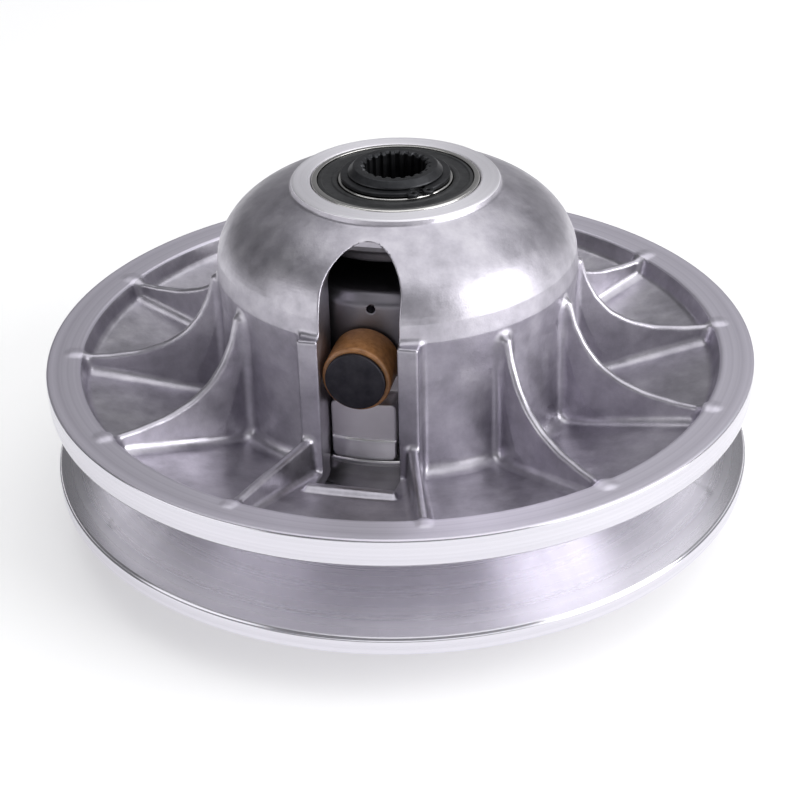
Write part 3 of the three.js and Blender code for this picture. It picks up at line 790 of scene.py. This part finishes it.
cast = Finish("cast aluminium, tumbled", 1.0, 0.4)
cast.colour(cast.noise(75, 7, 0.65), (0.32, (0.40, 0.385, 0.43)), (0.5, (0.51, 0.49, 0.545)),
            (0.68, (0.62, 0.60, 0.65)))
cast.rough(cast.noise(120, 5, 0.6), 0.305, 0.455)
cast.bump((cast.noise(45, 2), 0.2), (cast.noise(380, 3), 0.06), (cast.noise(1500, 2), 0.035))

turned = Finish("turned aluminium", 1.0, 0.22)
turned.colour(turned.rings(700), (0.3, (0.66, 0.645, 0.70)), (0.7, (0.73, 0.715, 0.77)))
turned.rough(turned.rings(260), 0.17, 0.27)
turned.bump((turned.rings(1400, 2, 0.4), 0.005))
turned.turned(0.65)

belt_face = Finish("belt face, polished by the belt", 1.0, 0.26)
belt_face.colour(belt_face.rings(500), (0.3, (0.77, 0.755, 0.80)), (0.7, (0.85, 0.835, 0.88)))
belt_face.rough(belt_face.rings(160), 0.23, 0.31)
belt_face.bump((belt_face.rings(900, 2, 0.2), 0.003))
belt_face.turned(0.85)

rim_top = Finish("rim top, satin turned", 1.0, 0.34)
rim_top.colour(rim_top.rings(600), (0.3, (0.68, 0.65, 0.735)), (0.7, (0.79, 0.76, 0.845)))
rim_top.rough(rim_top.rings(220), 0.42, 0.5)
rim_top.bump((rim_top.rings(1400, 2, 0.4), 0.006), (rim_top.noise(1500, 2), 0.02))
rim_top.turned(0.15)

# The bearing ring's upward face: its own satin facing, and a colour lighter than the turned finish, which is
# painted light.
ring_top_satin_and_painted_light = Finish("bearing ring top, faced, with painted light", 1.0, 0.4)
ring_top_satin_and_painted_light.colour(ring_top_satin_and_painted_light.rings(900), (0.3, (0.90, 0.885, 0.93)), (0.7, (0.95, 0.935, 0.98)))
ring_top_satin_and_painted_light.rough(ring_top_satin_and_painted_light.rings(300), 0.50, 0.6)
ring_top_satin_and_painted_light.bump((ring_top_satin_and_painted_light.rings(2600, 3, 0.4), 0.02))
ring_top_satin_and_painted_light.turned(0.3)

bright_band = Finish("steel, turned bright", 1.0, 0.24)
bright_band.colour(bright_band.rings(500), (0.3, (0.76, 0.75, 0.76)), (0.7, (0.88, 0.87, 0.88)))
bright_band.rough(bright_band.rings(300), 0.2, 0.3)
bright_band.bump((bright_band.rings(2500, 3, 1.0), 0.03))
bright_band.turned(0.8)

# A darker copy of the machined steel: painted shade on the carrier's upper part, deep inside the dome.
shaded_steel = Finish("machined steel, painted shade", 1.0, 0.4)
shaded_steel.colour(shaded_steel.noise(60, 4), (0.3, (0.20, 0.19, 0.215)), (0.7, (0.27, 0.26, 0.285)))
shaded_steel.rough(shaded_steel.rings(240), 0.36, 0.48)
shaded_steel.bump((shaded_steel.rings(2000, 3, 1.0), 0.03))

# A darker copy of the cast aluminium: painted shade on the inside of the dome, where little light reaches.
shaded_inner_cast = Finish("cast aluminium, inside, painted shade", 1.0, 0.5)
shaded_inner_cast.colour(shaded_inner_cast.noise(75, 5), (0.3, (0.15, 0.145, 0.16)), (0.7, (0.24, 0.23, 0.25)))
shaded_inner_cast.rough(shaded_inner_cast.noise(120, 4), 0.45, 0.6)
shaded_inner_cast.bump((shaded_inner_cast.noise(700, 3), 0.06))

steel = Finish("machined steel", 1.0, 0.3)
steel.colour(steel.noise(60, 4), (0.3, (0.86, 0.83, 0.86)), (0.7, (0.95, 0.92, 0.95)))
steel.rough(steel.rings(240), 0.44, 0.56)
steel.bump((steel.rings(2000, 3, 1.0), 0.03), (steel.noise(900, 3), 0.02))

bright_steel = Finish("bearing steel", 1.0, 0.18)
bright_steel.colour(bright_steel.rings(500), (0.3, (0.66, 0.65, 0.63)), (0.7, (0.76, 0.75, 0.73)))
bright_steel.rough(bright_steel.rings(300), 0.14, 0.24)
bright_steel.bump((bright_steel.rings(3000, 2), 0.01))

black = Finish("black oxide steel", 0.85, 0.38)
black.colour(black.noise(160, 5), (0.3, (0.028, 0.029, 0.032)), (0.7, (0.062, 0.063, 0.068)))
black.rough(black.noise(260, 4), 0.32, 0.48)
black.bump((black.noise(1100, 3), 0.04))

pin_steel = Finish("dark ground steel", 1.0, 0.33)
pin_steel.colour(pin_steel.noise(220, 4), (0.3, (0.032, 0.031, 0.038)), (0.7, (0.055, 0.053, 0.062)))
pin_steel.rough(pin_steel.noise(500, 4), 0.4, 0.52)
pin_steel.bump((pin_steel.noise(1500, 2), 0.03))

rubber = Finish("seal rubber", 0.0, 0.5)
rubber.colour(rubber.noise(300, 4), (0.3, (0.014, 0.0145, 0.016)), (0.7, (0.03, 0.031, 0.033)))
rubber.rough(rubber.noise(500, 3), 0.42, 0.56)
rubber.bump((rubber.noise(1400, 2), 0.03))

composite = Finish("roller composite", 0.0, 0.36, Coat_Weight=0.3, Coat_Roughness=0.25)
composite.colour(composite.noise(420, 5, 0.6), (0.3, (0.2, 0.085, 0.028)),
                 (0.5, (0.3, 0.135, 0.048)), (0.72, (0.38, 0.18, 0.07)))
composite.rough(composite.noise(600, 4), 0.3, 0.45)
composite.bump((composite.noise(1300, 3), 0.05))

bronze = Finish("sintered bronze", 1.0, 0.34)
bronze.colour(bronze.noise(400, 4), (0.3, (0.42, 0.26, 0.11)), (0.7, (0.56, 0.37, 0.17)))
bronze.rough(bronze.noise(700, 3), 0.3, 0.42)
bronze.bump((bronze.noise(1500, 2), 0.03))

spring_steel = Finish("oil-hardened spring steel", 0.9, 0.36)
spring_steel.colour(spring_steel.noise(200, 4), (0.3, (0.06, 0.062, 0.07)), (0.7, (0.12, 0.122, 0.13)))
spring_steel.rough(spring_steel.noise(600, 3), 0.3, 0.45)
spring_steel.bump((spring_steel.noise(1200, 2), 0.04))


def paint(obj, finish, *patches):
    """Gives obj its finish, then each (finish, where) patch to the faces whose centre where() picks."""
    obj.data.materials.clear()
    for each in (finish, *(patch for patch, where in patches)):
        obj.data.materials.append(each.material)
    if not patches:
        return
    mesh = obj.data
    centres = np.empty(len(mesh.polygons) * 3, np.float32)
    mesh.polygons.foreach_get("center", centres)
    centres = centres.reshape(-1, 3) / MM
    r, z = np.hypot(centres[:, 0], centres[:, 1]), centres[:, 2]
    index = np.zeros(len(mesh.polygons), np.int32)
    for number, (patch, where) in enumerate(patches, start=1):
        index[where(r, z)] = number
    mesh.polygons.foreach_set("material_index", index)


FACE_TOLERANCE = 0.35


def on_upper_face(r, z):
    return (np.abs(z - GROOVE_MID_Z - face_rise(r)) < FACE_TOLERANCE) & (r > 60)


def on_lower_face(r, z):
    return (np.abs(z - GROOVE_MID_Z + face_rise(r)) < FACE_TOLERANCE) & (r > FACE_INNER_RADIUS - 0.5)


# Castings are machined on their rims, belt faces and seats, which are picked out by radius and height.
paint(stationary, cast,
      (turned, lambda r, z: r > 134.3),
      # the bearing ring's top: satin facing with painted light in its colour
      (ring_top_satin_and_painted_light, lambda r, z: (r < 38.4) & (z > 98.6)),
      (rim_top, lambda r, z: (r > 121.9) & (z > 45.0) & (r < 134.7)),
      (belt_face, on_upper_face),
      # painted shade: the darker cast colour inside the dome
      (shaded_inner_cast, lambda r, z: (r < 52) & (z > 95) & (z < 104.5)))
paint(movable, cast,
      (turned, lambda r, z: r > 134.1),
      (bright_band, lambda r, z: (r < 71.5) & (z > 15.4)),
      (belt_face, on_lower_face))
paint(carrier, steel,
      (bright_band, lambda r, z: (z < 36.6) & (r > 50.6)),
      # painted shade: the darker steel colour on the carrier above z 58
      (shaded_steel, lambda r, z: z > 58))
paint(cam, steel)
paint(post, black)
paint(circlip, black)

# ---- what each piece stands for -----------------------------------------------------------------

def fit(piece, body, node):
    """The piece rides on the body and takes the place of the node, which is hidden."""
    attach(piece, body)
    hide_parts(node)


fit(stationary, "stationary_sheave", "stationary_sheave")
fit(outer_race, "stationary_sheave", "bearing_outer_race")
fit(seal_top, "stationary_sheave", "bearing_seal_top")
fit(seal_bottom, "stationary_sheave", "bearing_seal_bottom")
fit(movable, "movable_sheave", "movable_sheave")
fit(carrier, "movable_sheave", "roller_carrier")
fit(bushing, "movable_sheave", "carrier_bushing")
fit(washer, "movable_sheave", "thrust_washer")
fit(post, "post", "post")
fit(cam, "post", "cam")
fit(inner_race, "post", "bearing_inner_race")
fit(circlip, "post", "post_circlip")
fit(seat, "post", "spring_seat")
fit(spring, "post", "compression_spring")
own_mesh(spring)
for number, piece in enumerate(carrier_screws, start=1):
    fit(piece, "movable_sheave", f"carrier_screw_{number}")
    paint(piece, black)
for number, piece in enumerate(cam_screws, start=1):
    fit(piece, "post", f"cam_screw_{number}")
    paint(piece, black)
for number, (pin, slot_roller, cam_roller) in enumerate(zip(pins, slot_rollers, cam_rollers), start=1):
    fit(pin, "movable_sheave", f"roller_pin_{number}")
    fit(slot_roller, f"slot_roller_{number}", f"slot_roller_{number}")
    fit(cam_roller, f"cam_roller_{number}", f"cam_roller_{number}")
    paint(pin, pin_steel)
    paint(slot_roller, composite)
    paint(cam_roller, composite)
for piece, finish in ((outer_race, bright_steel), (inner_race, bright_steel), (seal_top, rubber),
                      (seal_bottom, rubber), (bushing, bronze), (washer, steel), (seat, steel),
                      (spring, spring_steel)):
    paint(piece, finish)
for name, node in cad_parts.items():
    if name.startswith("bearing_ball"):
        paint(node, bright_steel)
    elif name == "bearing_cage":
        paint(node, spring_steel)

# ---- studio -------------------------------------------------------------------------------------

# In metres. The lower sheave opens 20 mm downwards, so the floor lies a little further below.
FLOOR_HALF, FLOOR_DROP = 6.0, 0.0215
floor_mesh = bpy.data.meshes.new("studio_floor")
floor_mesh.from_pydata(
    [(-FLOOR_HALF, -FLOOR_HALF, -FLOOR_DROP), (FLOOR_HALF, -FLOOR_HALF, -FLOOR_DROP),
     (FLOOR_HALF, FLOOR_HALF, -FLOOR_DROP), (-FLOOR_HALF, FLOOR_HALF, -FLOOR_DROP)], [], [(0, 1, 2, 3)])
floor = bpy.data.objects.new("studio_floor", floor_mesh)
bpy.context.scene.collection.objects.link(floor)
PAPER_GLOW = 0.36
paper = Finish("white studio paper", 0.0, 0.9)
paper.colour(paper.noise(3, 2), (0.3, (0.86, 0.86, 0.86)), (0.7, (0.88, 0.88, 0.88)))
paper.surface.inputs["Emission Color"].default_value = (1, 1, 1, 1)
paper.surface.inputs["Emission Strength"].default_value = PAPER_GLOW
paint(floor, paper)

# The surroundings are lightest at and below the horizon, darkest some way up, and lighter towards +X.
SKY_STOPS = ((0.0, (0.62, 0.62, 0.63, 1)), (0.4, (0.3, 0.3, 0.31, 1)), (0.9, (0.34, 0.345, 0.36, 1)))
SKY_LEFT, SKY_RIGHT, SKY_STRENGTH = 0.45, 1.25, 0.9

world = bpy.data.worlds.new("studio")
bpy.context.scene.world = world
world.use_nodes = True
tree = world.node_tree
sky = tree.nodes["Background"]
where = tree.nodes.new("ShaderNodeTexCoord")
parts = tree.nodes.new("ShaderNodeSeparateXYZ")
tree.links.new(where.outputs["Generated"], parts.inputs[0])
shade = tree.nodes.new("ShaderNodeValToRGB")
shade.color_ramp.elements.new(0.5)
for stop, (position, colour) in zip(shade.color_ramp.elements, SKY_STOPS):
    stop.position = position
    stop.color = colour
tree.links.new(parts.outputs["Z"], shade.inputs["Fac"])
side = tree.nodes.new("ShaderNodeMapRange")
side.inputs["From Min"].default_value = -1.0
side.inputs["To Min"].default_value = SKY_LEFT
side.inputs["To Max"].default_value = SKY_RIGHT
tree.links.new(parts.outputs["X"], side.inputs["Value"])
scaled = tree.nodes.new("ShaderNodeVectorMath")
scaled.operation = "SCALE"
tree.links.new(shade.outputs["Color"], scaled.inputs[0])
tree.links.new(side.outputs["Result"], scaled.inputs["Scale"])
tree.links.new(scaled.outputs["Vector"], sky.inputs["Color"])
sky.inputs["Strength"].default_value = SKY_STRENGTH


def softbox(name, width, height, power, place, target=(0, 0, 0.05)):
    """A rectangular lamp, in metres and watts, that faces the target."""
    light = bpy.data.lights.new(name, "AREA")
    light.shape = "RECTANGLE"
    light.size, light.size_y = width, height
    light.energy = power
    lamp = bpy.data.objects.new(name, light)
    bpy.context.scene.collection.objects.link(lamp)
    lamp.location = place
    lamp.rotation_euler = (Vector(place) - Vector(target)).to_track_quat("Z", "Y").to_euler()


softbox("overhead_softbox", 3.2, 2.6, 27, (0.35, 0.2, 2.0))
softbox("right_softbox", 1.1, 1.1, 15, (1.29, -0.30, 0.5))
softbox("left_softbox", 1.0, 0.8, 3, (-1.0, -0.85, 0.45))

# ---- camera -------------------------------------------------------------------------------------

CAMERA_AZIMUTH = math.radians(12.2)
CAMERA_DISTANCE, CAMERA_HEIGHT = 558.72, 352.46
AIM_RIGHT, AIM_HEIGHT = -0.39, 17.79
CAMERA_ROLL = -0.025
LENS, SENSOR = 74.0, 36.0
across = Vector((math.cos(CAMERA_AZIMUTH), math.sin(CAMERA_AZIMUTH), 0))
outward = Vector((math.sin(CAMERA_AZIMUTH), -math.cos(CAMERA_AZIMUTH), 0))
position = outward * CAMERA_DISTANCE + Vector((0, 0, CAMERA_HEIGHT))
back = (position - across * AIM_RIGHT - Vector((0, 0, AIM_HEIGHT))).normalized()
right = Vector((0, 0, 1)).cross(back).normalized()
up = back.cross(right)
rolled_right = right * math.cos(CAMERA_ROLL) + up * math.sin(CAMERA_ROLL)
rolled_up = up * math.cos(CAMERA_ROLL) - right * math.sin(CAMERA_ROLL)
camera_data = bpy.data.cameras.new("photo_camera")
camera_data.lens = LENS
camera_data.sensor_width = SENSOR
camera_data.clip_start = 0.01
camera = bpy.data.objects.new("photo_camera", camera_data)
bpy.context.scene.collection.objects.link(camera)
axes = Matrix((rolled_right, rolled_up, back)).transposed().to_4x4()
camera.matrix_world = Matrix.Translation(position * MM) @ axes
bpy.context.scene.camera = camera
bpy.context.scene.view_settings.view_transform = "Standard"
